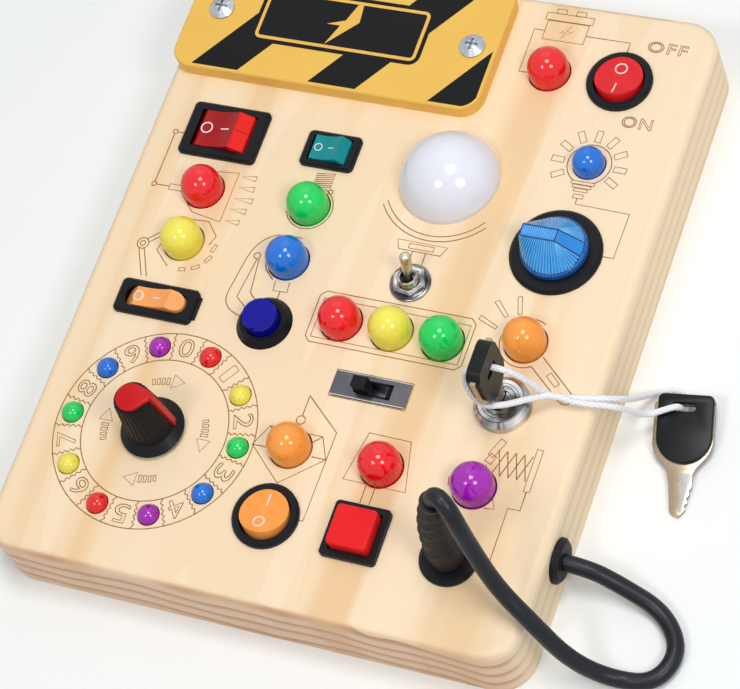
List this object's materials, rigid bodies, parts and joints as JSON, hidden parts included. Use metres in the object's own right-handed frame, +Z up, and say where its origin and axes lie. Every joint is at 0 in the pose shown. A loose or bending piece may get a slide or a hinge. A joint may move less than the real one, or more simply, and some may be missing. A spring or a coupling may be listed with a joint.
{
  "type": "wooden busy board",
  "caption": "Pine activity board with rocker, toggle, slide and rotary switches, a key lock, a selector knob, a jack lead and coloured lamp domes.",
  "frame": {"origin": "centre of the board's underside, on the surface it lies on", "axes": "+Z up out of the board's face, +X to the right across its width, +Y up its length towards the battery cover"},
  "size_m": [0.2475, 0.25, 0.0823],
  "materials": {
    "pine": "clear satin lacquer",
    "panel_board": "plain hardboard",
    "screw_steel": "plated",
    "cover_plastic": "gloss with black stripes",
    "black_plastic": "fine grain",
    "cell_wrap": "printed wrap",
    "lens_red": "clear tinted",
    "lens_yellow": "clear tinted",
    "lens_green": "clear tinted",
    "lens_blue": "clear tinted",
    "lens_orange": "clear tinted",
    "lens_purple": "clear tinted",
    "lens_white": "milky",
    "red_plastic": "translucent gloss",
    "teal_plastic": "gloss",
    "orange_plastic": "gloss",
    "navy_plastic": "gloss",
    "clear_blue": "transparent gloss",
    "plate_steel": "dark plated",
    "switch_chrome": "plated",
    "key_steel": "nickel plated",
    "pin_metal": "plated",
    "cord_rubber": "matt",
    "braid": "braided cotton"
  },
  "bodies": {
    "board": {"wood_board": "pine", "back_panel": "panel_board", "screws": "screw_steel", "battery_cover": "cover_plastic", "battery_case": "black_plastic", "battery_cells": "cell_wrap", "red_dome_left": "lens_red", "green_dome_coil": "lens_green", "yellow_dome_lamp": "lens_yellow", "blue_dome_lamp": "lens_blue", "red_dome_top": "lens_red", "red_dome_signal": "lens_red", "yellow_dome_signal": "lens_yellow", "green_dome_signal": "lens_green", "orange_dome_torch": "lens_orange", "orange_dome_pendant": "lens_orange", "red_dome_shade": "lens_red", "purple_dome_lamp": "lens_purple", "small_dome": "lens_blue", "white_dome": "lens_white", "ring_lamps_red": "lens_red", "ring_lamps_yellow": "lens_yellow", "ring_lamps_green": "lens_green", "ring_lamps_blue": "lens_blue", "ring_lamps_purple": "lens_purple", "red_rocker_frame": "black_plastic", "teal_rocker_frame": "black_plastic", "orange_rocker_frame": "black_plastic", "red_round_frame": "black_plastic", "orange_round_frame": "black_plastic", "blue_button_frame": "black_plastic", "square_button_frame": "black_plastic", "slide_frame": "plate_steel", "toggle_frame": "switch_chrome", "lock_housing": "switch_chrome", "spare_key_head": "black_plastic", "spare_key_blade": "key_steel", "selector_switch": "black_plastic", "rotary_switch": "black_plastic", "jack_socket": "black_plastic", "grommet": "black_plastic", "cable": "cord_rubber", "key_string": "braid"},
    "red_rocker": {"red_rocker": "red_plastic"},
    "teal_rocker": {"teal_rocker": "teal_plastic"},
    "orange_rocker": {"orange_rocker": "orange_plastic"},
    "red_round": {"red_round": "red_plastic"},
    "orange_round": {"orange_round": "orange_plastic"},
    "blue_button": {"blue_button": "navy_plastic"},
    "square_button": {"square_button": "red_plastic"},
    "slide_knob": {"slide_knob": "black_plastic"},
    "toggle_lever": {"toggle_lever": "switch_chrome"},
    "lock_plug": {"lock_plug": "switch_chrome"},
    "key": {"key_head": "black_plastic", "key_blade": "key_steel"},
    "selector": {"selector_knob": "black_plastic", "selector_cap": "red_plastic"},
    "rotary": {"rotary_knob": "clear_blue"},
    "plug": {"plug_grip": "black_plastic", "plug_pin": "pin_metal"}
  },
  "joints": [
    {"name": "red_rocker_tip", "type": "hinge", "parent": "board", "child": "red_rocker", "pos_m": [-0.0691, 0.0484, 0.02], "axis": [0, 1, 0], "range_deg": [0, 20]},
    {"name": "teal_rocker_tip", "type": "hinge", "parent": "board", "child": "teal_rocker", "pos_m": [-0.0261, 0.0483, 0.024], "axis": [0, 1, 0], "range_deg": [0, 20]},
    {"name": "orange_rocker_tip", "type": "hinge", "parent": "board", "child": "orange_rocker", "pos_m": [-0.0691, -0.0226, 0.025], "axis": [0, 1, 0], "range_deg": [0, 20]},
    {"name": "red_round_tip", "type": "hinge", "parent": "board", "child": "red_round", "pos_m": [0.0698, 0.0951, 0.029], "axis": [1, 0, 0], "range_deg": [0, 20]},
    {"name": "orange_round_tip", "type": "hinge", "parent": "board", "child": "orange_round", "pos_m": [0.00071, -0.0928, 0.029], "axis": [1, 0, 0], "range_deg": [0, 20]},
    {"name": "blue_button_press", "type": "slide", "parent": "board", "child": "blue_button", "axis": [0, 0, -1], "range_m": [0, 0.003], "stiffness_N_per_m": 300, "springref_m": -0.001},
    {"name": "square_button_press", "type": "slide", "parent": "board", "child": "square_button", "axis": [0, 0, -1], "range_m": [0, 0.003], "stiffness_N_per_m": 300, "springref_m": -0.001},
    {"name": "slide_knob_slide", "type": "slide", "parent": "board", "child": "slide_knob", "axis": [1, 0, 0], "range_m": [0, 0.006]},
    {"name": "toggle_flip", "type": "hinge", "parent": "board", "child": "toggle_lever", "pos_m": [0.0208, 0.0031, 0.03], "axis": [1, 0, 0], "range_deg": [0, 40]},
    {"name": "lock_turn", "type": "hinge", "parent": "board", "child": "lock_plug", "pos_m": [0.0688, -0.0358, 0.033], "axis": [0, 0, 1], "range_deg": [-90, 0], "deforming": ["key_string"]},
    {"name": "key_pull", "type": "slide", "parent": "lock_plug", "child": "key", "axis": [0, 0, 1], "range_m": [0, 0.02], "deforming": ["key_string"]},
    {"name": "selector_turn", "type": "hinge", "parent": "board", "child": "selector", "pos_m": [-0.0513, -0.0705, 0.03], "axis": [0, 0, 1], "range_deg": [-252, 72]},
    {"name": "rotary_turn", "type": "hinge", "parent": "board", "child": "rotary", "pos_m": [0.0684, 0.0246, 0.03], "axis": [0, 0, 1], "range_deg": [-90, 0]},
    {"name": "plug_pull", "type": "slide", "parent": "board", "child": "plug", "axis": [0, 0, 1], "range_m": [0, 0.014], "deforming": ["cable"]}
  ]
}
